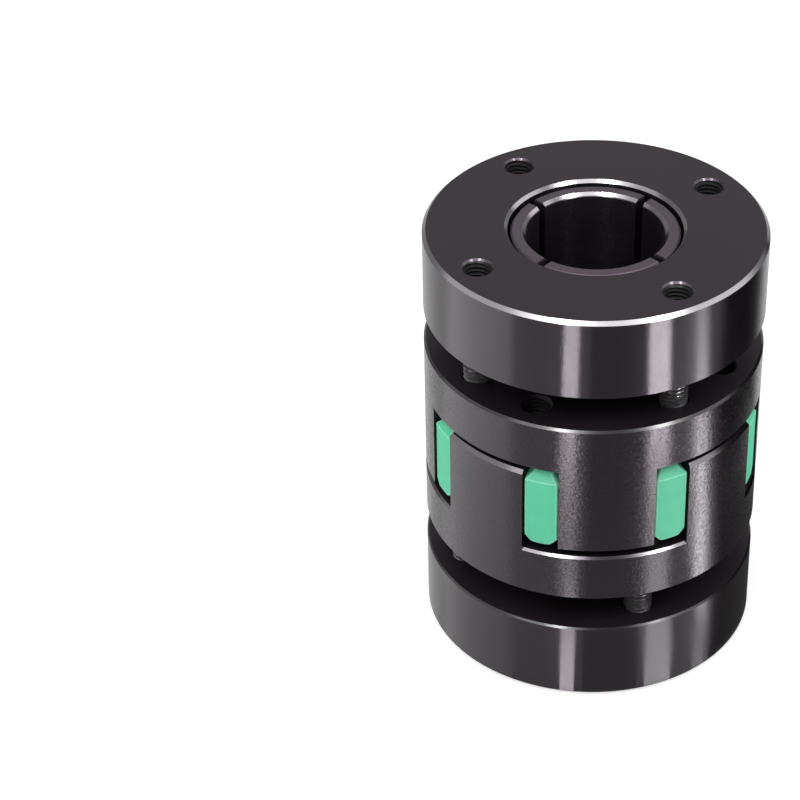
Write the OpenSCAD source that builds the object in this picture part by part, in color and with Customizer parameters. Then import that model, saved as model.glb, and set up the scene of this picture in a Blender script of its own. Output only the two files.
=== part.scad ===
// Expansion sleeve coupling: two identical jawed hubs face each other with an elastic eight-toothed
// spider between them. Each hub ends in a slotted taper sleeve, and four screws draw a clamping ring
// along the taper, which closes the sleeve on the shaft.
// The axis is vertical. The origin is the centre of the bottom face.

/* [Coupling] */
// Outside diameter of the hubs and the clamping rings
coupling_d = 95; // [92:0.5:110]
// Shaft bore of both hubs
bore_d = 38; // [28:0.5:40]
// Length of each clamping ring
ring_len = 24.5; // [20:0.5:32]
// Open gap between a clamping ring and its hub
ring_gap = 10.5; // [6:0.5:14]
// Length of a hub's round body, without its jaws and sleeve
hub_body_len = 15; // [13:0.5:24]
// Distance between the inner faces of the two hub bodies
jaw_zone = 28; // [22:0.5:36]

/* [Jaws] */
// Number of jaws on each hub
jaws_per_hub = 4; // [3:1:5]
// Radial depth of the jaws
jaw_depth = 16; // [13:0.5:17]
// Width of the window between two neighbouring jaws, flank to flank
window_w = 10.4; // [8:0.1:12]
// Clearance between a jaw's tip and the other hub's body
jaw_tip_gap = 1.5; // [0.5:0.1:2.5]
// Chamfer on the outer edge of a jaw's tip
jaw_tip_chamfer = 1; // [0.3:0.1:2]

/* [Spider] */
// Clearance between a tooth's crown and each jaw flank
tooth_fit = 0.02; // [0.01:0.01:0.1]
// Height of the crown on each flank of a tooth
crown_rise = 0.38; // [0.1:0.02:0.6]
// Distance that the teeth stay below the outside diameter
tooth_recess = 0.5; // [0:0.1:2]
// Clearance between the spider and the face of each hub body
spider_side_gap = 1.5; // [0.5:0.1:3]
// Clearance between the spider's hub ring and the inside of the jaws
spider_ring_gap = 0.5; // [0.1:0.1:1.5]
// Radial clearance between the shaft and the hole through the spider
spider_bore_gap = 2; // [0.5:0.1:3]
// Chamfer round both ends of a tooth
tooth_end_chamfer = 2.7; // [0.5:0.1:3.5]
// Chamfer on the long outer edges of a tooth
tooth_edge_chamfer = 0.7; // [0.2:0.1:1.2]

/* [Taper sleeve] */
// Wall of the sleeve at its open end
sleeve_wall = 4.2; // [3:0.1:5]
// Angle of the taper to the axis
taper_angle = 5.3; // [4:0.1:7]
// Distance from the ring's outer face down to the sleeve's end
sleeve_recess = 1.2; // [0.2:0.1:3]
// Width of the slots that let the sleeve close
slot_w = 2.5; // [1:0.1:4]
// Solid length between the end of a slot and the hub's body
slot_web = 2; // [0.5:0.1:4]

/* [Clamping ring] */
// Radial gap between the sleeve's end and the mouth of the ring
mouth_gap = 0.9; // [0.4:0.05:1.5]
// Radial clearance between the sleeve's taper and the ring's taper
seat_gap = 0.05; // [0.02:0.01:0.1]
// Chamfer round the mouth of the ring
mouth_chamfer = 0.85; // [0.2:0.05:1.5]

/* [Clamping screws] */
// Thread diameter of the clamping screws and of the pull-off threads
screw_d = 8; // [6:1:8]
// Length of a screw under its head
screw_len = 30; // [25:1:35]
// Diameter of a screw's head
head_d = 13; // [10:0.5:13]
// Height of a screw's head
head_h = 8; // [6:0.5:9]
// Width across the flats of the hexagon socket
socket_af = 6; // [5:0.5:7]
// Depth of the hexagon socket
socket_depth = 4; // [3:0.5:5]
// Distance from the outside diameter to the screw axes
screw_inset = 9.3; // [9:0.1:11]
// Angle from a tooth's centre line to the screw beside it
screw_lead_angle = 6.5; // [5:0.5:9]
// Radial clearance of a screw in the hub
screw_clearance = 0.5; // [0.2:0.1:1]
// Radial clearance of a screw's head in its counterbore
head_clearance = 0.5; // [0.2:0.1:0.8]
// Depth of a screw's head below the face of the hub body
head_sink = 0.6; // [0:0.1:1]
// Radial clearance of a screw in its tapped hole
thread_fit = 0.02; // [0.01:0.01:0.1]

/* [Edges] */
// Chamfer on the outer end edge of a clamping ring
ring_chamfer = 1; // [0.3:0.1:2]
// Chamfer on the inner end edge of a clamping ring
ring_inner_chamfer = 0.5; // [0.2:0.1:1]
// Chamfer on the edges of a hub's body
hub_chamfer = 0.65; // [0.2:0.05:1.5]
// Chamfer at both ends of the shaft bore
bore_chamfer = 1; // [0.3:0.1:1.5]
// Chamfer at the mouths of the tapped holes
hole_chamfer = 0.5; // [0.2:0.1:0.8]
// Chamfer on the end rims of the spider's hub ring
spider_rim_chamfer = 0.8; // [0.2:0.1:1.5]
// Chamfer on the head and on the tip of a screw
screw_chamfer = 0.8; // [0.2:0.1:1]

/* [Hidden] */
$fn = 96;
// Overrun of cutting shapes, so that they never end on the face that they cut
over = 1;

// Radii
outer_r = coupling_d / 2;
bore_r = bore_d / 2;
jaw_inner_r = outer_r - jaw_depth;
sleeve_tip_r = bore_r + sleeve_wall;
mouth_r = sleeve_tip_r + mouth_gap;
screw_r = screw_d / 2;
tapped_r = screw_r + thread_fit;
screw_circle_r = outer_r - screw_inset;
tooth_r = outer_r - tooth_recess;
spider_ring_r = jaw_inner_r - spider_ring_gap;
spider_bore_r = bore_r + spider_bore_gap;

// Heights over the middle plane, outwards along the axis. Both hubs use them, one upside down
hub_face_z = jaw_zone / 2;
hub_back_z = hub_face_z + hub_body_len;
ring_inner_z = hub_back_z + ring_gap;
ring_outer_z = ring_inner_z + ring_len;
sleeve_tip_z = ring_outer_z - sleeve_recess;
jaw_tip_z = jaw_tip_gap - hub_face_z;
screw_seat_z = hub_face_z + head_sink + head_h;
spider_half_w = hub_face_z - spider_side_gap;

// Jaws reach this far into the hub's body, past the chamfer of its face
jaw_root = 2 * hub_chamfer;

// Angles. Jaws start on +X, teeth stand between the jaws of the two hubs
jaw_pitch = 360 / jaws_per_hub;
tooth_pitch = jaw_pitch / 2;
first_tooth_angle = tooth_pitch / 2;
slot_angle = jaw_pitch / 2;
screw_angle = first_tooth_angle + screw_lead_angle;
pull_off_angle = jaw_pitch - screw_angle;

// Tooth flanks are arcs that stand highest halfway along the jaws
tooth_half_w = window_w / 2 - tooth_fit;
tooth_tip_half_w = tooth_half_w - crown_rise;
crown_mid_r = (jaw_inner_r + tooth_r) / 2;
crown_span = (tooth_r - jaw_inner_r) / 2;
crown_r = (crown_span * crown_span + crown_rise * crown_rise) / (2 * crown_rise);

BLACK = [0.15, 0.14, 0.15];
RING_BLACK = [0.2, 0.185, 0.2];
STEEL_BLACK = [0.09, 0.09, 0.1];
GREEN = [0.16, 0.62, 0.42];

SCREWS = [for (i = [1 : jaws_per_hub]) i];

// Radius of the sleeve's taper at a height over the middle plane
function sleeve_r(z) = sleeve_tip_r + (sleeve_tip_z - z) * tan(taper_angle);

// Radius of the ring's taper at the same height
function seat_r(z) = sleeve_r(z) + seat_gap;

// Places a half of the coupling: the lower one is turned over about the line through a tooth
module upper_half() {
    translate([0, 0, ring_outer_z]) children();
}

module lower_half() {
    translate([0, 0, ring_outer_z]) rotate([0, 0, 2 * first_tooth_angle]) rotate([180, 0, 0]) children();
}

// Repeats a shape at the jaw pitch, starting at an angle
module each_jaw_pitch(start) {
    for (i = [0 : jaws_per_hub - 1]) rotate([0, 0, start + i * jaw_pitch]) children();
}

// A round hole along the axis between two heights, on the screw circle
module screw_circle_hole(r, z1, z2) {
    translate([screw_circle_r, 0, z1]) cylinder(r = r, h = z2 - z1);
}

// A hole for a thread, with a chamfered mouth at both ends
module tapped_hole(z1, z2) {
    mouth = tapped_r + hole_chamfer;
    past = mouth + over;
    screw_circle_hole(tapped_r, z1 - over, z2 + over);
    translate([screw_circle_r, 0, z1 - over]) cylinder(r1 = past, r2 = tapped_r, h = hole_chamfer + over);
    translate([screw_circle_r, 0, z2 - hole_chamfer])
        cylinder(r1 = tapped_r, r2 = past, h = hole_chamfer + over);
}

// The hub as it comes off the lathe: round body and taper sleeve round one bore
module hub_turning() {
    tip_chamfer = bore_chamfer / 2;
    rotate_extrude() polygon([
        [bore_r, hub_face_z + bore_chamfer],
        [bore_r + bore_chamfer, hub_face_z],
        [outer_r - hub_chamfer, hub_face_z],
        [outer_r, hub_face_z + hub_chamfer],
        [outer_r, hub_back_z - hub_chamfer],
        [outer_r - hub_chamfer, hub_back_z],
        [sleeve_r(hub_back_z), hub_back_z],
        [sleeve_r(sleeve_tip_z - tip_chamfer), sleeve_tip_z - tip_chamfer],
        [sleeve_tip_r - tip_chamfer, sleeve_tip_z],
        [bore_r + bore_chamfer, sleeve_tip_z],
        [bore_r, sleeve_tip_z - bore_chamfer]
    ]);
}

// Wedge that one jaw fills: its sides are parallel to the centre lines of the teeth beside it
module jaw_wedge() {
    apex = window_w / 2 / sin(first_tooth_angle);
    reach = 2 * outer_r;
    side_x = apex + reach * cos(first_tooth_angle);
    side_y = reach * sin(first_tooth_angle);
    translate([0, 0, jaw_tip_z - over])
        linear_extrude(height = hub_face_z + jaw_root - jaw_tip_z + 2 * over)
            polygon([[apex, 0], [side_x, -side_y], [side_x, side_y]]);
}

module jaws() {
    intersection() {
        rotate_extrude() polygon([
            [jaw_inner_r, jaw_tip_z],
            [outer_r - jaw_tip_chamfer, jaw_tip_z],
            [outer_r, jaw_tip_z + jaw_tip_chamfer],
            [outer_r, hub_face_z + jaw_root],
            [jaw_inner_r, hub_face_z + jaw_root]
        ]);
        each_jaw_pitch(0) jaw_wedge();
    }
}

// One slot through the sleeve, with the round end that a cutter leaves
module sleeve_slot() {
    inner_x = bore_r - over;
    radial_len = sleeve_r(hub_back_z) + over - inner_x;
    end_z = hub_back_z + slot_web + slot_w / 2;
    translate([inner_x, -slot_w / 2, end_z]) cube([radial_len, slot_w, sleeve_tip_z + over - end_z]);
    translate([inner_x, 0, end_z]) rotate([0, 90, 0]) cylinder(d = slot_w, h = radial_len);
}

module hub() {
    color(BLACK) difference() {
        union() {
            hub_turning();
            jaws();
        }
        each_jaw_pitch(slot_angle) sleeve_slot();
        each_jaw_pitch(screw_angle) {
            screw_circle_hole(screw_r + screw_clearance, hub_face_z - over, hub_back_z + over);
            screw_circle_hole(head_d / 2 + head_clearance, hub_face_z - over, screw_seat_z);
        }
        each_jaw_pitch(pull_off_angle) tapped_hole(hub_face_z, hub_back_z);
    }
}

module clamping_ring() {
    // The ring's taper starts where it has grown to the radius of the mouth
    taper_start_z = sleeve_tip_z - (mouth_r - seat_gap - sleeve_tip_r) / tan(taper_angle);
    color(RING_BLACK) difference() {
        rotate_extrude() polygon([
            [seat_r(ring_inner_z) + ring_inner_chamfer, ring_inner_z],
            [outer_r - ring_inner_chamfer, ring_inner_z],
            [outer_r, ring_inner_z + ring_inner_chamfer],
            [outer_r, ring_outer_z - ring_chamfer],
            [outer_r - ring_chamfer, ring_outer_z],
            [mouth_r + mouth_chamfer, ring_outer_z],
            [mouth_r, ring_outer_z - mouth_chamfer],
            [mouth_r, taper_start_z],
            [seat_r(ring_inner_z + ring_inner_chamfer), ring_inner_z + ring_inner_chamfer]
        ]);
        each_jaw_pitch(screw_angle) tapped_hole(ring_inner_z, ring_outer_z);
    }
}

// A socket head screw on the screw circle, its head towards the spider
module clamp_screw(i) {
    head_r = head_d / 2;
    head_top_z = screw_seat_z - head_h;
    tip_z = screw_seat_z + screw_len;
    color(STEEL_BLACK) rotate([0, 0, screw_angle + (i - 1) * jaw_pitch]) translate([screw_circle_r, 0, 0])
        difference() {
            rotate_extrude() polygon([
                [0, head_top_z],
                [head_r - screw_chamfer, head_top_z],
                [head_r, head_top_z + screw_chamfer],
                [head_r, screw_seat_z],
                [screw_r, screw_seat_z],
                [screw_r, tip_z - screw_chamfer],
                [screw_r - screw_chamfer, tip_z],
                [0, tip_z]
            ]);
            translate([0, 0, head_top_z - over])
                cylinder(d = socket_af / cos(30), h = socket_depth + over, $fn = 6);
        }
}

// Outline of one tooth seen along the axis: two crowned flanks and cut corners at the outside
module tooth_outline() {
    corner_x = sqrt(tooth_r * tooth_r - tooth_tip_half_w * tooth_tip_half_w) - tooth_edge_chamfer;
    // The two lines that cut the corners are drawn past them by this much
    past = 2;
    root_x = spider_ring_r - spider_rim_chamfer - over;
    intersection() {
        translate([crown_mid_r, tooth_half_w - crown_r]) circle(r = crown_r);
        translate([crown_mid_r, crown_r - tooth_half_w]) circle(r = crown_r);
        polygon([
            [root_x, -tooth_tip_half_w - past],
            [corner_x - past, -tooth_tip_half_w - past],
            [corner_x + tooth_edge_chamfer + past, -tooth_tip_half_w + tooth_edge_chamfer + past],
            [corner_x + tooth_edge_chamfer + past, tooth_tip_half_w - tooth_edge_chamfer - past],
            [corner_x - past, tooth_tip_half_w + past],
            [root_x, tooth_tip_half_w + past]
        ]);
    }
}

// A bar along +X that chamfers the flanks of a tooth at both ends
module tooth_flank_bar() {
    flat = spider_half_w - tooth_end_chamfer;
    end_half_w = tooth_half_w - tooth_end_chamfer;
    rotate([90, 0, 90]) linear_extrude(height = outer_r + over) polygon([
        [-end_half_w, -spider_half_w],
        [end_half_w, -spider_half_w],
        [tooth_half_w, -flat],
        [tooth_half_w, flat],
        [end_half_w, spider_half_w],
        [-end_half_w, spider_half_w],
        [-tooth_half_w, flat],
        [-tooth_half_w, -flat]
    ]);
}

// The ring that the teeth share, out to their tips, with their end chamfer
module tooth_ring() {
    flat = spider_half_w - tooth_end_chamfer;
    root_r = spider_bore_r + spider_rim_chamfer;
    rotate_extrude() polygon([
        [root_r, -spider_half_w],
        [tooth_r - tooth_end_chamfer, -spider_half_w],
        [tooth_r, -flat],
        [tooth_r, flat],
        [tooth_r - tooth_end_chamfer, spider_half_w],
        [root_r, spider_half_w]
    ]);
}

module spider_hub_ring() {
    flat = spider_half_w - spider_rim_chamfer;
    rotate_extrude() polygon([
        [spider_bore_r, -flat],
        [spider_bore_r + spider_rim_chamfer, -spider_half_w],
        [spider_ring_r - spider_rim_chamfer, -spider_half_w],
        [spider_ring_r, -flat],
        [spider_ring_r, flat],
        [spider_ring_r - spider_rim_chamfer, spider_half_w],
        [spider_bore_r + spider_rim_chamfer, spider_half_w],
        [spider_bore_r, flat]
    ]);
}

module spider() {
    color(GREEN) translate([0, 0, ring_outer_z]) union() {
        spider_hub_ring();
        for (i = [0 : 2 * jaws_per_hub - 1]) rotate([0, 0, first_tooth_angle + i * tooth_pitch])
            intersection() {
                tooth_ring();
                tooth_flank_bar();
                translate([0, 0, -spider_half_w - over])
                    linear_extrude(height = 2 * (spider_half_w + over)) tooth_outline();
            }
    }
}

upper_half() hub();  // upper_hub
lower_half() hub();  // lower_hub
upper_half() clamping_ring();  // upper_clamping_ring
lower_half() clamping_ring();  // lower_clamping_ring
spider();
for (i = SCREWS) {
    upper_half() clamp_screw(i);
    lower_half() clamp_screw(i);
}
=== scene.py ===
"""Looks of the expansion sleeve coupling: threads, finishes, studio lights and the photograph's camera."""

import math

import bmesh
import bpy
from mathutils import Matrix, Vector

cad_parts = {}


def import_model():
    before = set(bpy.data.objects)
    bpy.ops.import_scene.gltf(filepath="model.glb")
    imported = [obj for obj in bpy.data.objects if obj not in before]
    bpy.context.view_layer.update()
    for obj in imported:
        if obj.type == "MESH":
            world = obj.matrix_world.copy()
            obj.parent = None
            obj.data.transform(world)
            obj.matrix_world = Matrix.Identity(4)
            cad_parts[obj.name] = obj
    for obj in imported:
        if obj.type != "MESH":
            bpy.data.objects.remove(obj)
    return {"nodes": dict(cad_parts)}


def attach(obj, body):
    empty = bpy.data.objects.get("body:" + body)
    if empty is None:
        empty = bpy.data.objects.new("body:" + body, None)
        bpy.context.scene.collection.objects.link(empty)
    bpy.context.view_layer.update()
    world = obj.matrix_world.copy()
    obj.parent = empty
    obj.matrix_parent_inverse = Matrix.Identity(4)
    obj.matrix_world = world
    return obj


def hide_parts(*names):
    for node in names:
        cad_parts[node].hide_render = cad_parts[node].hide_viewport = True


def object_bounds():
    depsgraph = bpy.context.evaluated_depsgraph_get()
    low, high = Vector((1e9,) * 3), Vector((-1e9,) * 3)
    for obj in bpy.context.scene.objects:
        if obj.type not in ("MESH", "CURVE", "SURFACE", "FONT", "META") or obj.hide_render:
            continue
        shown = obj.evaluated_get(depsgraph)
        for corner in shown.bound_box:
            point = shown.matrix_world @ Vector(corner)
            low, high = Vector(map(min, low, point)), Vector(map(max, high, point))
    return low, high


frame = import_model()
cad_low, cad_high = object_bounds()

MM = 0.001
FULL_TURN = 2 * math.pi
WHITE = (1, 1, 1, 1)
BLACK = (0, 0, 0, 1)

# The record's material slots
HUB_SLOT = "black_anodised_hub"
RING_SLOT = "black_anodised_ring"

# Sizes of the part that the details follow, in metres and degrees
OUTER_R = cad_high.x
MIDDLE_Z = cad_high.z / 2
SCREW_CIRCLE_R = 38.2 * MM
SCREW_ANGLE = 29
PULL_OFF_ANGLE = 61
JAWS = 4
JAW_PITCH = 360 / JAWS
FIRST_TOOTH_ANGLE = JAW_PITCH / 4

# The M8 screws. Heights count from the middle plane
THREAD_PITCH = 1.25 * MM
SCREW_CREST_R = 4.0 * MM
SCREW_ROOT_R = 3.3 * MM
SCREW_HEAD_R = 6.5 * MM
SCREW_HEAD_LOW = 14.6 * MM
SCREW_SEAT = 22.6 * MM
SCREW_TIP = 52.6 * MM
# The rounded edge of the head: its reach, and how far its middle lies in from the corner, across and up
HEAD_ROUND = 1.1 * MM
HEAD_ROUND_MIDDLE = (0.4 * MM, 0.24 * MM)
SEAT_EDGE = 0.2 * MM
NECK_STEP = 0.6 * MM
TIP_EDGE = 0.3 * MM
THREAD_FADE = 0.8 * MM
SOCKET_FLATS = 6.0 * MM
SOCKET_DEPTH = 4.0 * MM
SOCKET_CONE = 1.2 * MM
SOCKET_MOUTH_R = SOCKET_FLATS / 2 + 0.9 * MM
SOCKET_MOUTH_DEPTH = 0.4 * MM

# The tapped holes: the thread's crest, and the wall of the plain hole in the CAD part that it stands on
TAPPED_CREST_R = 3.4 * MM
TAPPED_WALL_R = 4.02 * MM
TAPPED_SKIN = 0.05 * MM
TAPPED_FADE = THREAD_PITCH * 0.6
# The faces that they open in. Their threads stay clear of the mouths' chamfers and of the screws' tips
HUB_FACE = 14.0 * MM
HUB_BACK = 29.0 * MM
RING_FACE = 64.0 * MM
MOUTH_CHAMFER = 0.5 * MM
TIP_CLEARANCE = 0.3 * MM

# The spider. Widths of a tooth count from its centre line, and heights from the middle plane
SPIDER_BORE_R = 21.0 * MM
SPIDER_RING_R = 31.0 * MM
SPIDER_HALF_LEN = 12.5 * MM
SPIDER_RIM = 0.8 * MM
TOOTH_R = OUTER_R - 0.5 * MM
TOOTH_ROOT = 29.0 * MM
TOOTH_MIDDLE_R = 39.25 * MM
TOOTH_HALF_W = 5.18 * MM
TOOTH_CROWN = 0.45 * MM
TOOTH_CORNER = 0.35 * MM
TOOTH_EDGE = 0.3 * MM
TOOTH_EDGE_STEPS = 3
# Cuts through a tooth: height, how far the flanks draw in and how far the outer face draws in
TOOTH_SECTIONS = (
    (-SPIDER_HALF_LEN, 3.3 * MM, 1.6 * MM),
    (-10.9 * MM, 1.7 * MM, 0.0),
    (-9.2 * MM, 0.0, 0.0),
    (9.8 * MM, 0.0, 0.0),
    (SPIDER_HALF_LEN, 2.7 * MM, 2.7 * MM),
)
# Points of a cut: along the flank from root to face, and along half the face to the centre line
FLANK_SHARES = (0.0, 0.2, 0.4, 0.6, 0.8, 1.0)
FACE_SHARES = (1.0, 0.5, 0.0)

TURN_STEPS = 48
WELD_DISTANCE = 0.0001 * MM
HEXAGON_STEP = math.radians(60)
# Edges that bend by more than this are shaded sharp, and on a tooth, by more than the second, rounded
SHARP_BEND = math.radians(32)
ROUNDED_BEND = math.radians(20)
# One pitch of a thread: share of the pitch, and 1 at the crest or 0 at the root
THREAD_SHAPE = ((0.0, 0), (0.14, 0), (0.46, 1), (0.60, 1), (0.92, 0))

# The range that most of a noise texture lies in, for a smooth one and for the grain
CLOUD_RANGE = (0.3, 0.7)
GRAIN_RANGE = (0.35, 0.65)

# The black anodised finish. Texture scales count to the metre, and the grooves' arcs to the radian
GROOVE_SCALE = 2600.0
GROOVE_ARC_SCALE = 2.0
GROOVE_DEPTH = 0.02 * MM
GRAIN_SCALE = 1250.0
GRAIN_DEPTH = 0.05 * MM
# How far the grain swings the roughness of the walls, at full strength
GRAIN_SPREAD = 0.08
DYE_SCALE = 45.0
DYE_TONES = ((0.0046, 0.0036, 0.0045, 1), (0.0078, 0.0062, 0.0076, 1))
WALL_IOR = 1.38
WALL_TINT = (1.0, 0.88, 0.98, 1)
WALL_ROUGHNESS = 0.21
# A quarter turn, which stretches the gloss up the wall, across the grooves
WALL_GLOSS_TURN = 0.25
FLAT_IOR = 1.31
FLAT_TINT = (1.0, 0.76, 1.0, 1)
FLAT_ROUGHNESS = (0.42, 0.48)
SLEEVE_END_TONE = (0.054, 0.046, 0.054, 1)
RING_END_TONE = (0.0062, 0.0049, 0.0060, 1)
END_FACE_DEPTH = 2.0 * MM
# A surface whose normal rises more than this is a chamfer, or past the second value a flat face
CHAMFER_SLOPE = 0.3
FLAT_SLOPE = 0.95
# The dye is thin and worn on the chamfers at the ends and at the jaws, so the metal shines through
EDGE_TONE = (0.108, 0.101, 0.108, 1)
JAW_EDGE_TONE = (0.055, 0.051, 0.055, 1)
JAW_REACH = 15.0 * MM
EDGE_ROUGHNESS = (0.18, 0.22)
# The mouths of the holes are less worn at the ends, and not at all inside the gaps
HOLE_RING_R = 36.0 * MM
HOLE_RING_REACH = 8.0 * MM
HOLE_WEAR = 0.12
# Nor is the sleeve's outer rim
SLEEVE_RIM_R = 22.1 * MM
SLEEVE_RIM_REACH = 1.8 * MM
# Inside this radius, the bore and the slots are more satin than lined
SLEEVE_MOUTH_R = 23.9 * MM
BORE_SATIN = 0.74

# The other finishes
GREEN_TONES = ((0.106, 0.600, 0.360, 1), (0.138, 0.690, 0.424, 1))
# The paler green of the teeth's rounded edges is a painted highlight, standing in for the light that their
# rims catch.
GREEN_PAINTED_HIGHLIGHT_TONES = ((0.230, 0.720, 0.500, 1), (0.300, 0.820, 0.600, 1))
GREEN_ROUGHNESS = (0.50, 0.58)
GREEN_SPECULAR = 0.12
GREEN_CLOUD_SCALE = 160.0
GREEN_SKIN_SCALE = 1900.0
GREEN_SKIN_STRENGTH = 0.12
GREEN_SKIN_DEPTH = 0.05 * MM
STEEL_SCALE = 900.0
STEEL_TONES = ((0.07, 0.067, 0.07, 1), (0.15, 0.144, 0.15, 1))
STEEL_ROUGHNESS = (0.16, 0.28)
STEEL_METALLIC = 0.6
TAPPED_SCALE = 1800.0
TAPPED_TONES = ((0.0046, 0.0040, 0.0046, 1), (0.0080, 0.0070, 0.0080, 1))
TAPPED_ROUGHNESS = (0.4, 0.55)
TAPPED_IOR = 1.18

# The photograph's camera, fitted to the object's edges
IMAGE_PX = 800
CAMERA_FOCAL_PX = 2738.5
SENSOR_MM = 36.0
CAMERA_ELEVATION = 35.57
CAMERA_TURN = -1.2
CAMERA_ROLL = -1.535
CAMERA_DISTANCE = 0.7801
CAMERA_AIM = Vector((-0.05461, 0.0, 0.07142))
CAMERA_RANGE = (0.05, 50)

# Area lights: azimuth, elevation, width, height, radiance and distance, then whether the gloss shows the
# light and whether it lights the part. Azimuths count from the camera's side, positive to the right
AREA_LIGHTS = (
    ("front_top_light", 0, 56, 1.4, 0.3, 4.8, 0.8, True, False),
    ("right_top_light", 88, 36, 0.9, 0.3, 3.2, 0.8, True, False),
    ("left_band_top", -26, 53, 0.1, 0.3, 60.0, 0.78, True, False),
    ("middle_band_top", 47, 50, 0.1, 0.3, 60.0, 0.78, True, False),
    ("key_light", -35, 45, 0.7, 0.7, 2.0, 1.2, True, True),
    ("right_fill", 100, 25, 0.5, 0.5, 2.6, 1.0, False, True),
)
# The power of an area light of one square metre and a radiance of 1
LIGHT_WATTS = 4
# An upright light that stands on the floor between two azimuths
STRIP_AZIMUTHS = (-104, -52)
STRIP_DISTANCE = 0.16
STRIP_HEIGHT = 0.4
STRIP_RADIANCE = 1.5

# Upright cards: first and last azimuth, height and tone
CARD_DISTANCE = 0.12
STANDING_CARDS = (
    ("front_card", -6, 24, 0.2, 0.6),
    ("right_card", 72, 119, 0.14, 0.0),
)
# Cards on the floor, by where they show in the wall: azimuths, heights in mm, and the tone
REFLECTIONS = (
    ("left_band_ring", -14.2, -9.3, 96, 132, 40.0),
    ("left_band_jaws", -14.5, -9.3, 29, 64, 2.5),
    ("left_band_low", -13.7, -8.8, 1, 29, 12.0),
    ("middle_band_ring", 13.4, 20.6, 96, 132, 45.0),
    ("middle_band_jaws", 15.4, 23.0, 29, 64, 5.5),
    ("middle_band_low", 15.8, 25.6, 1, 29, 7.0),
    ("right_band_ring", 30.8, 35.4, 96, 132, 11.0),
    ("right_band_hub", 32.0, 37.0, 64, 96, 14.0),
    ("right_band_jaws", 33.5, 38.5, 29, 64, 14.0),
    ("right_band_low", 35.2, 40.3, 1, 29, 2.8),
    ("left_side_hub", -65.0, -31.0, 64, 96, 2.0),
    ("left_side_jaws", -65.0, -31.0, 29, 64, 1.9),
    ("left_side_low", -65.0, -31.0, 1, 29, 1.5),
    ("dark_front_jaws", -6.0, 12.0, 29, 96, 0.8),
    ("dark_front_low", -6.0, 13.0, 1, 29, 0.6),
    ("dark_right_jaws", 43.0, 80.0, 29, 64, 0.1),
    ("dark_right_low", 43.0, 80.0, 1, 29, 0.1),
)
# Height at which the cards lie over the floor
FLOOR_CARD_Z = 0.0002
CARD_STEPS = 8

WORLD_TONE = (0.75, 0.75, 0.75, 1)
FLOOR_TONE = (0.6, 0.6, 0.6, 1)
FLOOR_GLOW = 0.6
FLOOR_ROUGHNESS = 0.9
FLOOR_HALF_SIZE = 6


def set_inputs(tree, node, inputs):
    """Gives sockets, by name or number, a plain value or a link from another node's output."""
    for key, value in inputs.items():
        if isinstance(value, bpy.types.NodeSocket):
            tree.links.new(value, node.inputs[key])
        else:
            node.inputs[key].default_value = value


def add_node(tree, kind, inputs, **properties):
    """A new node with its properties and inputs."""
    node = tree.nodes.new(kind)
    for name, value in properties.items():
        setattr(node, name, value)
    set_inputs(tree, node, inputs)
    return node


def principled(name):
    """A new material, its node tree and its main shader."""
    material = bpy.data.materials.new(name)
    material.use_nodes = True
    tree = material.node_tree
    return material, tree, tree.nodes["Principled BSDF"]


def math_node(tree, operation, *values):
    """The result of a Math node on sockets or numbers."""
    return add_node(tree, "ShaderNodeMath", dict(enumerate(values)), operation=operation).outputs[0]


def inverse(tree, mask):
    """1 less the mask."""
    return math_node(tree, "SUBTRACT", 1.0, mask)


def map_range(tree, value, source, target):
    """Maps one range of a value to another, and holds it at the ends."""
    inputs = {"Value": value, "From Min": source[0], "From Max": source[1]}
    inputs.update({"To Min": target[0], "To Max": target[1]})
    return add_node(tree, "ShaderNodeMapRange", inputs).outputs["Result"]


def mix_colour(tree, share, first, second):
    """The first colour where the share is 0, and the second where it is 1."""
    mix = add_node(tree, "ShaderNodeMix", {"Factor": share, 6: first, 7: second}, data_type="RGBA")
    return mix.outputs[2]


def mix_shader(tree, share, first, second):
    """The first shader where the share is 0, and the second where it is 1."""
    return add_node(tree, "ShaderNodeMixShader", {"Fac": share, 1: first, 2: second}).outputs[0]


def object_place(tree):
    """Coordinates in the part's frame, in metres."""
    return add_node(tree, "ShaderNodeTexCoord", {}).outputs["Object"]


def noise(tree, place, scale, detail, roughness=0.5):
    """The factor of a noise texture on a socket's coordinates."""
    inputs = {"Vector": place, "Scale": scale, "Detail": detail, "Roughness": roughness}
    return add_node(tree, "ShaderNodeTexNoise", inputs).outputs["Fac"]


def two_tones(tree, share, tones):
    """A colour between a dark and a light tone."""
    ramp = add_node(tree, "ShaderNodeValToRGB", {"Fac": share})
    for element, tone in zip(ramp.color_ramp.elements, tones):
        element.color = tone
    return ramp.outputs["Color"]


def bump(tree, height, strength, depth):
    """A Bump node on a relief."""
    return add_node(tree, "ShaderNodeBump", {"Height": height, "Strength": strength, "Distance": depth})


def lathe_coordinates(tree, place):
    """Coordinates that stretch a texture into rings round the axis, and the radius and height."""
    parts = add_node(tree, "ShaderNodeSeparateXYZ", {0: place})
    x, y, z = parts.outputs
    square = math_node(tree, "ADD", math_node(tree, "MULTIPLY", x, x), math_node(tree, "MULTIPLY", y, y))
    radius = math_node(tree, "SQRT", square)
    angle = math_node(tree, "ARCTAN2", y, x)
    joined = add_node(tree, "ShaderNodeCombineXYZ", {
        0: math_node(tree, "MULTIPLY", radius, GROOVE_SCALE),
        1: math_node(tree, "MULTIPLY", angle, GROOVE_ARC_SCALE),
        2: math_node(tree, "MULTIPLY", z, GROOVE_SCALE),
    })
    return joined.outputs[0], radius, z


def height_masks(tree, height):
    """Masks of the faces at the very ends of the part, and of the jaws' reach."""
    from_middle = math_node(tree, "ABSOLUTE", math_node(tree, "SUBTRACT", height, MIDDLE_Z))
    at_end = math_node(tree, "GREATER_THAN", from_middle, MIDDLE_Z - END_FACE_DEPTH)
    at_jaws = math_node(tree, "LESS_THAN", from_middle, JAW_REACH)
    return at_end, at_jaws


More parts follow.
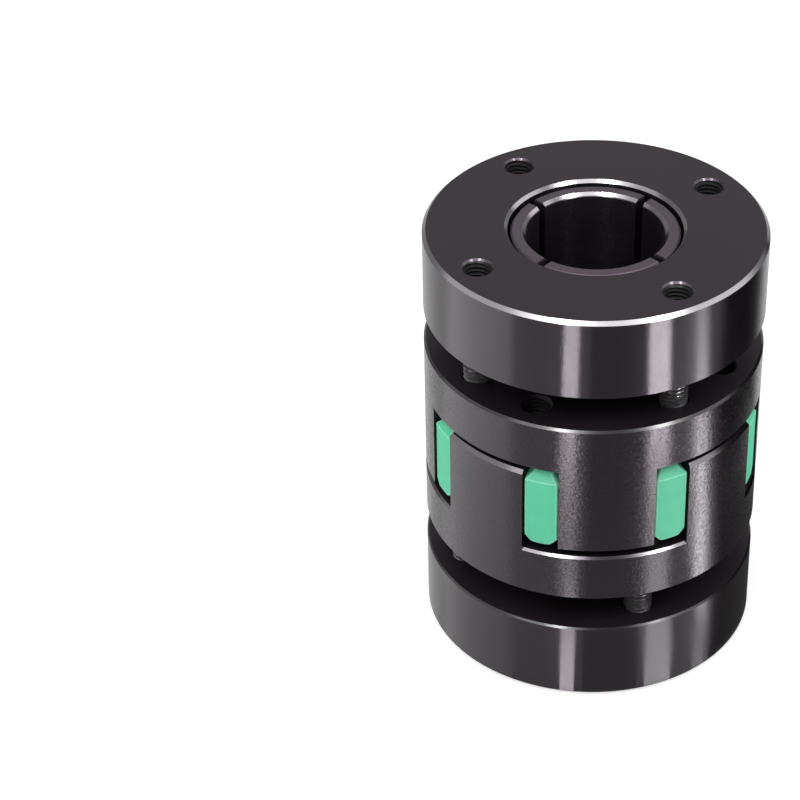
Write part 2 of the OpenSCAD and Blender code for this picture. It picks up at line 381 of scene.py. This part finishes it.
def slope_masks(tree, radius, at_end):
    """How much of the satin finish a face takes, and how much of the chamfers' own."""
    shape = add_node(tree, "ShaderNodeNewGeometry", {})
    facing = add_node(tree, "ShaderNodeSeparateXYZ", {0: shape.outputs["True Normal"]})
    slope = math_node(tree, "ABSOLUTE", facing.outputs[2])
    sloping = math_node(tree, "GREATER_THAN", slope, CHAMFER_SLOPE)
    inside = math_node(tree, "LESS_THAN", radius, SLEEVE_MOUTH_R)
    satin = math_node(tree, "MAXIMUM", sloping, math_node(tree, "MULTIPLY", inside, BORE_SATIN))

    chamfer = math_node(tree, "MULTIPLY", sloping, math_node(tree, "LESS_THAN", slope, FLAT_SLOPE))
    on_sleeve = math_node(tree, "COMPARE", radius, SLEEVE_RIM_R, SLEEVE_RIM_REACH)
    chamfer = math_node(tree, "MULTIPLY", chamfer, inverse(tree, on_sleeve))
    on_hole = math_node(tree, "COMPARE", radius, HOLE_RING_R, HOLE_RING_REACH)
    unworn = inverse(tree, math_node(tree, "MULTIPLY", at_end, HOLE_WEAR))
    spared = math_node(tree, "MULTIPLY", on_hole, unworn)
    chamfer = math_node(tree, "MULTIPLY", chamfer, inverse(tree, spared))
    return satin, chamfer


def lined_wall(tree, wall, tone, speckle, grain, relief):
    """The turned walls, whose gloss the grooves stretch and the grain mottles."""
    tangent = add_node(tree, "ShaderNodeTangent", {}, direction_type="RADIAL", axis="Z")
    spread = GRAIN_SPREAD * grain
    swing = (WALL_ROUGHNESS - spread, WALL_ROUGHNESS + spread)
    set_inputs(tree, wall, {
        "Base Color": tone,
        "Roughness": map_range(tree, speckle, GRAIN_RANGE, swing),
        "IOR": WALL_IOR,
        "Specular Tint": WALL_TINT,
        "Anisotropic": 1.0,
        "Anisotropic Rotation": WALL_GLOSS_TURN,
        "Tangent": tangent.outputs[0],
        "Normal": relief,
    })
    return wall.outputs[0]


def satin_face(tree, tone, cloud, relief):
    """The flat faces."""
    shader = add_node(tree, "ShaderNodeBsdfPrincipled", {
        "Base Color": tone,
        "Roughness": map_range(tree, cloud, CLOUD_RANGE, FLAT_ROUGHNESS),
        "IOR": FLAT_IOR,
        "Specular Tint": FLAT_TINT,
        "Normal": relief,
    })
    return shader.outputs[0]


def worn_chamfer(tree, tone, cloud, relief, at_end, at_jaws):
    """The chamfers: worn to the metal at the ends and at the jaws, and dyed elsewhere."""
    worn = math_node(tree, "MAXIMUM", at_end, at_jaws)
    worn_tone = mix_colour(tree, at_end, JAW_EDGE_TONE, EDGE_TONE)
    shader = add_node(tree, "ShaderNodeBsdfPrincipled", {
        "Base Color": mix_colour(tree, worn, tone, worn_tone),
        "Metallic": worn,
        "Roughness": map_range(tree, cloud, CLOUD_RANGE, EDGE_ROUGHNESS),
        "IOR": FLAT_IOR,
        "Normal": relief,
    })
    return shader.outputs[0]


def black_anodised(name, grooves, grain, end_tone):
    """Turned aluminium, anodised black: grooves and a grain on the walls, satin flats and worn chamfers.

    Grooves and grain are the strengths of those reliefs. End_tone is the flat faces' at the very ends."""
    material, tree, wall = principled(name)
    place = object_place(tree)
    rings, radius, height = lathe_coordinates(tree, place)
    lines = noise(tree, rings, scale=1.0, detail=3.0, roughness=0.6)
    speckle = noise(tree, place, GRAIN_SCALE, detail=2.0, roughness=0.7)
    cloud = noise(tree, place, DYE_SCALE, detail=2.0)
    tone = two_tones(tree, cloud, DYE_TONES)
    lined = bump(tree, lines, grooves, GROOVE_DEPTH).outputs["Normal"]
    grained = bump(tree, speckle, grain, GRAIN_DEPTH)
    set_inputs(tree, grained, {"Normal": lined})

    at_end, at_jaws = height_masks(tree, height)
    satin, chamfer = slope_masks(tree, radius, at_end)
    wall = lined_wall(tree, wall, tone, speckle, grain, grained.outputs["Normal"])
    flat = satin_face(tree, mix_colour(tree, at_end, tone, end_tone), cloud, lined)
    edge = worn_chamfer(tree, tone, cloud, lined, at_end, at_jaws)
    whole = mix_shader(tree, chamfer, mix_shader(tree, satin, wall, flat), edge)
    set_inputs(tree, tree.nodes["Material Output"], {"Surface": whole})
    return material


def green_polyurethane(name, tones):
    """Cast polyurethane with a faintly cloudy tone and a fine skin."""
    material, tree, shader = principled(name)
    place = object_place(tree)
    cloud = noise(tree, place, GREEN_CLOUD_SCALE, detail=4.0)
    skin = noise(tree, place, GREEN_SKIN_SCALE, detail=2.0)
    set_inputs(tree, shader, {
        "Base Color": two_tones(tree, cloud, tones),
        "Roughness": map_range(tree, cloud, CLOUD_RANGE, GREEN_ROUGHNESS),
        "Specular IOR Level": GREEN_SPECULAR,
        "Normal": bump(tree, skin, GREEN_SKIN_STRENGTH, GREEN_SKIN_DEPTH).outputs["Normal"],
    })
    return material


def black_steel():
    """The screws' black oxide, a little cloudy in tone and gloss."""
    material, tree, shader = principled("black_oxide_steel")
    cloud = noise(tree, object_place(tree), STEEL_SCALE, detail=3.0)
    set_inputs(tree, shader, {
        "Base Color": two_tones(tree, cloud, STEEL_TONES),
        "Roughness": map_range(tree, cloud, CLOUD_RANGE, STEEL_ROUGHNESS),
        "Metallic": STEEL_METALLIC,
    })
    return material


def tapped_finish():
    """The dyed flanks of a tapped thread, with tool marks."""
    material, tree, shader = principled("tapped_thread")
    marks = noise(tree, object_place(tree), TAPPED_SCALE, detail=2.0)
    set_inputs(tree, shader, {
        "Base Color": two_tones(tree, marks, TAPPED_TONES),
        "Roughness": map_range(tree, marks, CLOUD_RANGE, TAPPED_ROUGHNESS),
        "IOR": TAPPED_IOR,
    })
    return material


def add_object(name, data):
    """A new object in the scene."""
    new = bpy.data.objects.new(name, data)
    bpy.context.scene.collection.objects.link(new)
    return new


def mesh_of(bm, name):
    """Turns a bmesh into a mesh and frees it."""
    mesh = bpy.data.meshes.new(name)
    bm.to_mesh(mesh)
    bm.free()
    return mesh


def dress(node, material):
    """Gives a CAD node its finish."""
    frame["nodes"][node].material_slots[0].material = material


def new_piece(name, mesh, material, place, replaced=()):
    """Adds a mesh at its place, as a piece that rides on the object's only body."""
    piece = add_object(name, mesh)
    mesh.materials.append(material)
    mesh.transform(place)
    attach(piece, "root")
    if replaced:
        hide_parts(*replaced)
    return piece


def about_z(degrees):
    """A turn about the axis."""
    return Matrix.Rotation(math.radians(degrees), 4, "Z")


def half_matrix(upper):
    """From heights over the middle plane to the part's frame. The lower half is turned over."""
    lift = Matrix.Translation((0, 0, MIDDLE_Z))
    if upper:
        return lift
    return lift @ about_z(2 * FIRST_TOOTH_ANGLE) @ Matrix.Rotation(math.pi, 4, "X")


def on_circle(angle):
    """The place of a hole's axis on the screw circle."""
    return about_z(angle) @ Matrix.Translation((SCREW_CIRCLE_R, 0, 0))


def turned(place, step, radius, height, steps=TURN_STEPS):
    """The point at a radius and height after some steps of a turn about the axis of a place."""
    angle = FULL_TURN * step / steps
    return place @ Vector((radius * math.cos(angle), radius * math.sin(angle), height))


def add_lathe(bm, place, profile, steps=TURN_STEPS):
    """Turns a profile of (radius, height) pairs. A radius may be a function of the step."""
    loops = []
    for radius, height in profile:
        loop = []
        for step in range(steps):
            reach = radius(step) if callable(radius) else radius
            loop.append(bm.verts.new(turned(place, step, reach, height, steps)))
        loops.append(loop)
    add_walls(bm, loops)


def add_walls(bm, loops):
    """Joins closed loops of vertices, each to the next."""
    for low, high in zip(loops, loops[1:]):
        for here in range(len(low)):
            there = (here + 1) % len(low)
            bm.faces.new((low[here], low[there], high[there], high[here]))


def add_thread(bm, place, low, high, crest_r, root_r, fade):
    """A helical thread between two heights, which fades to its root over the length fade at both ends."""
    columns = []
    turns = int((high - low) / THREAD_PITCH) + 2
    for step in range(TURN_STEPS):
        rise = THREAD_PITCH * step / TURN_STEPS
        column = []
        for turn in range(-1, turns):
            for share, level in THREAD_SHAPE:
                z = min(max(low + rise + (turn + share) * THREAD_PITCH, low), high)
                level_here = min(level, (z - low) / fade, (high - z) / fade)
                radius = root_r + (crest_r - root_r) * level_here
                column.append(bm.verts.new(turned(place, step, radius, z)))
        columns.append(column)
    for step in range(TURN_STEPS):
        here = columns[step]
        there = columns[(step + 1) % TURN_STEPS]
        lead = len(THREAD_SHAPE) if step == TURN_STEPS - 1 else 0
        for row in range(len(here) - 1 - lead):
            bm.faces.new((here[row], there[row + lead], there[row + lead + 1], here[row + 1]))


def finished_mesh(bm, name):
    """Welds, drops collapsed faces, turns the faces outward and shades with sharp edges."""
    bmesh.ops.remove_doubles(bm, verts=bm.verts, dist=WELD_DISTANCE)
    bmesh.ops.dissolve_degenerate(bm, edges=bm.edges, dist=WELD_DISTANCE)
    bmesh.ops.recalc_face_normals(bm, faces=bm.faces)
    mesh = mesh_of(bm, name)
    for face in mesh.polygons:
        face.use_smooth = True
    mesh.set_sharp_from_angle(angle=SHARP_BEND)
    return mesh


def socket_radius(step):
    """Distance from a screw's axis to the wall of its hexagon socket."""
    angle = FULL_TURN * step / TURN_STEPS
    return SOCKET_FLATS / 2 / math.cos(angle % HEXAGON_STEP - HEXAGON_STEP / 2)


def screw_mesh():
    """A socket head cap screw, standing on its head, along its own axis."""
    bm = bmesh.new()
    axis = Matrix.Identity(4)
    round_in, round_up = HEAD_ROUND_MIDDLE
    thread_low = SCREW_SEAT + 3 * NECK_STEP
    thread_high = SCREW_TIP - TIP_EDGE
    add_lathe(bm, axis, (
        (0, SCREW_HEAD_LOW + SOCKET_DEPTH + SOCKET_CONE),
        (socket_radius, SCREW_HEAD_LOW + SOCKET_DEPTH),
        (socket_radius, SCREW_HEAD_LOW + SOCKET_MOUTH_DEPTH),
        (SOCKET_MOUTH_R, SCREW_HEAD_LOW),
        (SCREW_HEAD_R - HEAD_ROUND, SCREW_HEAD_LOW),
        (SCREW_HEAD_R - round_in, SCREW_HEAD_LOW + round_up),
        (SCREW_HEAD_R, SCREW_HEAD_LOW + HEAD_ROUND),
        (SCREW_HEAD_R, SCREW_SEAT - SEAT_EDGE),
        (SCREW_HEAD_R - SEAT_EDGE, SCREW_SEAT),
        (SCREW_CREST_R + NECK_STEP, SCREW_SEAT),
        (SCREW_CREST_R, SCREW_SEAT + NECK_STEP),
        (SCREW_CREST_R, SCREW_SEAT + 2 * NECK_STEP),
        (SCREW_ROOT_R, thread_low),
    ))
    add_thread(bm, axis, thread_low, thread_high, SCREW_CREST_R, SCREW_ROOT_R, THREAD_FADE)
    add_lathe(bm, axis, (
        (SCREW_ROOT_R, thread_high),
        (SCREW_ROOT_R - TIP_EDGE, SCREW_TIP),
        (0, SCREW_TIP),
    ))
    return finished_mesh(bm, "threaded_screw")


def add_tapped_thread(bm, place, low, high):
    """An inner thread on the wall of a hole. Its outer skin lies in the metal."""
    add_thread(bm, place, low, high, TAPPED_CREST_R, TAPPED_WALL_R, TAPPED_FADE)
    add_lathe(bm, place, (
        (TAPPED_WALL_R, high),
        (TAPPED_WALL_R + TAPPED_SKIN, high - TAPPED_SKIN),
        (TAPPED_WALL_R + TAPPED_SKIN, low + TAPPED_SKIN),
        (TAPPED_WALL_R, low),
    ))


def tapped_threads(name, first_angle, low, high):
    """The threads of the four holes on the screw circle, as one mesh."""
    bm = bmesh.new()
    for jaw in range(JAWS):
        add_tapped_thread(bm, on_circle(first_angle + jaw * JAW_PITCH), low, high)
    return finished_mesh(bm, name)


def tooth_outline(flank_in, face_in):
    """Corners of one cut through a tooth that points along +X: a crowned flank, the outer face, a flank."""
    reach = TOOTH_R - face_in
    span = reach - TOOTH_MIDDLE_R
    half = TOOTH_HALF_W - flank_in
    edge_half = half - TOOTH_CROWN
    corner_x = math.sqrt(reach ** 2 - edge_half ** 2) - TOOTH_CORNER
    side = []
    for share in FLANK_SHARES:
        x = TOOTH_ROOT + (corner_x - TOOTH_ROOT) * share
        side.append((x, half - TOOTH_CROWN * ((x - TOOTH_MIDDLE_R) / span) ** 2))
    for share in FACE_SHARES:
        y = (edge_half - TOOTH_CORNER) * share
        side.append((math.sqrt(reach ** 2 - y ** 2), y))
    return side + [(x, -y) for x, y in reversed(side[:-1])]


def add_tooth(bm, place):
    """One tooth of the spider, closed at both ends."""
    loops = []
    for height, flank_in, face_in in TOOTH_SECTIONS:
        corners = tooth_outline(flank_in, face_in)
        loops.append([bm.verts.new(place @ Vector((x, y, height))) for x, y in corners])
    add_walls(bm, loops)
    bm.faces.new(loops[0])
    bm.faces.new(loops[-1])


def round_teeth(bm):
    """Rounds the sharp edges of the teeth. The roundings take the piece's second material, a paler green
    painted on as a highlight.
    """
    bmesh.ops.recalc_face_normals(bm, faces=bm.faces)
    sharp = [edge for edge in bm.edges if edge.calc_face_angle() > ROUNDED_BEND]
    bmesh.ops.bevel(bm, geom=sharp, offset=TOOTH_EDGE, segments=TOOTH_EDGE_STEPS, profile=0.5,
                    affect="EDGES", clamp_overlap=True, material=1)


def spider_mesh():
    """The elastic spider: eight crowned teeth, their edges slightly rounded, on a plain ring."""
    bm = bmesh.new()
    for tooth in range(2 * JAWS):
        add_tooth(bm, about_z(FIRST_TOOTH_ANGLE * (2 * tooth + 1)))
    round_teeth(bm)
    flat = SPIDER_HALF_LEN - SPIDER_RIM
    profile = [
        (SPIDER_BORE_R, -flat),
        (SPIDER_BORE_R + SPIDER_RIM, -SPIDER_HALF_LEN),
        (SPIDER_RING_R - SPIDER_RIM, -SPIDER_HALF_LEN),
        (SPIDER_RING_R, -flat),
        (SPIDER_RING_R, flat),
        (SPIDER_RING_R - SPIDER_RIM, SPIDER_HALF_LEN),
        (SPIDER_BORE_R + SPIDER_RIM, SPIDER_HALF_LEN),
        (SPIDER_BORE_R, flat),
    ]
    add_lathe(bm, Matrix.Identity(4), profile + profile[:1], 2 * TURN_STEPS)
    return finished_mesh(bm, "toothed_spider")


def dress_spider():
    """The spider's toothed piece, with its roundings painted paler as a highlight, in place of its CAD
    node.
    """
    green = green_polyurethane("green_polyurethane", GREEN_TONES)
    dress("spider", green)
    spider = new_piece("toothed_spider", spider_mesh(), green, half_matrix(True), ("spider",))
    # The second material paints a highlight on the rounded edges of the teeth.
    spider.data.materials.append(green_polyurethane("green_painted_highlight_edge", GREEN_PAINTED_HIGHLIGHT_TONES))


def dress_half(half, hub, ring, threads, steel):
    """Finishes a hub and its clamping ring, and gives them their threads and screws."""
    dress(half + "_hub", hub)
    dress(half + "_clamping_ring", ring)
    place = half_matrix(half == "upper")
    name = half + "_ring_threads"
    mesh = tapped_threads(name, SCREW_ANGLE, SCREW_TIP + TIP_CLEARANCE, RING_FACE - MOUTH_CHAMFER)
    new_piece(name, mesh, threads, place)
    name = half + "_pull_off_threads"
    mesh = tapped_threads(name, PULL_OFF_ANGLE, HUB_FACE + MOUTH_CHAMFER, HUB_BACK - MOUTH_CHAMFER)
    new_piece(name, mesh, threads, place)
    for number in range(JAWS):
        node = f"{half}_clamp_screw_{number + 1}"
        dress(node, steel)
        screw_place = place @ on_circle(SCREW_ANGLE + number * JAW_PITCH)
        new_piece("threaded_" + node, screw_mesh(), steel, screw_place, (node,))


def dress_coupling():
    """Gives every CAD node its finish and adds the pieces that replace or detail them."""
    hub = black_anodised(HUB_SLOT, grooves=0.01, grain=0.9, end_tone=SLEEVE_END_TONE)
    ring = black_anodised(RING_SLOT, grooves=0.04, grain=0.25, end_tone=RING_END_TONE)
    threads = tapped_finish()
    steel = black_steel()
    dress_spider()
    for half in ("upper", "lower"):
        dress_half(half, hub, ring, threads, steel)


def camera():
    """The photograph's camera."""
    data = bpy.data.cameras.new("camera")
    data.sensor_width = SENSOR_MM
    data.lens = CAMERA_FOCAL_PX * SENSOR_MM / IMAGE_PX
    data.clip_start, data.clip_end = CAMERA_RANGE
    cam = add_object("camera", data)
    e = math.radians(CAMERA_ELEVATION)
    roll = math.radians(CAMERA_ROLL)
    back = Vector((0, -math.cos(e), math.sin(e)))
    right = Vector((1, 0, 0))
    up = back.cross(right)
    tilted_right = right * math.cos(roll) + up * math.sin(roll)
    tilted_up = up * math.cos(roll) - right * math.sin(roll)
    axes = Matrix((tilted_right, tilted_up, back)).transposed().to_4x4()
    place = Matrix.Translation(CAMERA_AIM + back * CAMERA_DISTANCE)
    cam.matrix_world = about_z(CAMERA_TURN) @ place @ axes
    bpy.context.scene.camera = cam


def outward(azimuth, elevation=0):
    """The direction from the axis to an azimuth and an elevation."""
    a = math.radians(azimuth + CAMERA_TURN)
    e = math.radians(elevation)
    return Vector((math.sin(a) * math.cos(e), -math.cos(a) * math.cos(e), math.sin(e)))


def soft_light(name, azimuth, elevation, width, height, radiance, distance, in_gloss, lights_part):
    """An area light that faces the part. One that doesn't light it is a reflection in its finish."""
    data = bpy.data.lights.new(name, "AREA")
    data.shape = "RECTANGLE"
    data.size = width
    data.size_y = height
    data.energy = LIGHT_WATTS * radiance * width * height
    lamp = add_object(name, data)
    out = outward(azimuth, elevation)
    lamp.location = Vector((0, 0, MIDDLE_Z)) + out * distance
    lamp.rotation_mode = "QUATERNION"
    lamp.rotation_quaternion = out.to_track_quat("Z", "Y")
    lamp.visible_camera = False
    lamp.visible_glossy = in_gloss
    lamp.visible_diffuse = lights_part
    return lamp


def standing_strip(name):
    """The upright light on the floor at the left, seen only in the gloss of the finish."""
    start, end = STRIP_AZIMUTHS
    width = 2 * STRIP_DISTANCE * math.tan(math.radians((end - start) / 2))
    lamp = soft_light(name, (start + end) / 2, 0, width, STRIP_HEIGHT, STRIP_RADIANCE, STRIP_DISTANCE,
                      in_gloss=True, lights_part=False)
    lamp.location.z = STRIP_HEIGHT / 2


def stage_card(name, corners, tone):
    """A dull card of one tone that only the gloss of the finish sees."""
    bm = bmesh.new()
    bm.faces.new([bm.verts.new(corner) for corner in corners])
    mesh = mesh_of(bm, name)
    card = add_object(name, mesh)
    material, tree, shader = principled(name)
    set_inputs(tree, shader, {
        "Base Color": BLACK,
        "Specular IOR Level": 0.0,
        "Emission Color": (tone, tone, tone, 1),
        "Emission Strength": 1.0,
    })
    mesh.materials.append(material)
    card.visible_camera = False
    card.visible_diffuse = False
    card.visible_shadow = False
    card.visible_transmission = False


def standing_card(name, start, end, height, tone):
    """An upright card between two azimuths."""
    reach = CARD_DISTANCE / math.cos(math.radians((end - start) / 2))
    low = Vector((0, 0, 2 * FLOOR_CARD_Z))
    high = Vector((0, 0, height))
    left = outward(start) * reach
    right = outward(end) * reach
    stage_card(name, (left + low, right + low, right + high, left + high), tone)


def mirrored_on_floor(azimuth, height):
    """Where the camera's ray meets the floor after the wall at an azimuth and a height reflects it."""
    normal = outward(azimuth)
    wall = normal * OUTER_R + Vector((0, 0, height))
    ray = wall - bpy.context.scene.camera.matrix_world.translation
    ray -= 2 * ray.dot(normal) * normal
    return wall - ray * ((wall.z - FLOOR_CARD_Z) / ray.z)


def mirror_card(name, left, right, low, high, tone):
    """A card on the floor that shows in the wall between two azimuths and two heights."""
    azimuths = [left + (right - left) * step / CARD_STEPS for step in range(CARD_STEPS + 1)]
    rim = [mirrored_on_floor(azimuth, high) for azimuth in azimuths]
    rim += [mirrored_on_floor(azimuth, low) for azimuth in reversed(azimuths)]
    stage_card(name, rim, tone)


def studio_lights():
    """The lights, and the cards that the finish reflects."""
    standing_strip("left_soft_light")
    for light in AREA_LIGHTS:
        soft_light(*light)
    for card in STANDING_CARDS:
        standing_card(*card)
    for name, left, right, low, high, tone in REFLECTIONS:
        mirror_card(name, left, right, low * MM, high * MM, tone)


def seen_directly(tree):
    """1 for rays from the camera, from gloss or through glass, and 0 for those that light the part."""
    path = add_node(tree, "ShaderNodeLightPath", {})
    straight = math_node(tree, "MAXIMUM", path.outputs["Is Camera Ray"], path.outputs["Is Glossy Ray"])
    return math_node(tree, "MAXIMUM", straight, path.outputs["Is Transmission Ray"])


def world():
    """White where it is seen, and an even pale grey where it lights the part."""
    scene_world = bpy.data.worlds.new("world")
    bpy.context.scene.world = scene_world
    scene_world.use_nodes = True
    tree = scene_world.node_tree
    tree.nodes.clear()
    light = add_node(tree, "ShaderNodeBackground", {"Color": WORLD_TONE}).outputs[0]
    seen = add_node(tree, "ShaderNodeBackground", {"Color": WHITE}).outputs[0]
    add_node(tree, "ShaderNodeOutputWorld", {"Surface": mix_shader(tree, seen_directly(tree), light, seen)})


def floor():
    """A white floor that keeps a soft shadow."""
    bm = bmesh.new()
    bmesh.ops.create_grid(bm, x_segments=1, y_segments=1, size=FLOOR_HALF_SIZE)
    mesh = mesh_of(bm, "floor")
    plane = add_object("floor", mesh)
    material, tree, shader = principled("white_floor")
    set_inputs(tree, shader, {
        "Base Color": FLOOR_TONE,
        "Roughness": FLOOR_ROUGHNESS,
        "Specular IOR Level": 0.0,
        "Emission Color": WHITE,
        "Emission Strength": math_node(tree, "MULTIPLY", seen_directly(tree), FLOOR_GLOW),
    })
    mesh.materials.append(material)


dress_coupling()
camera()
world()
floor()
studio_lights()

scene = bpy.context.scene
scene.view_settings.view_transform = "Standard"
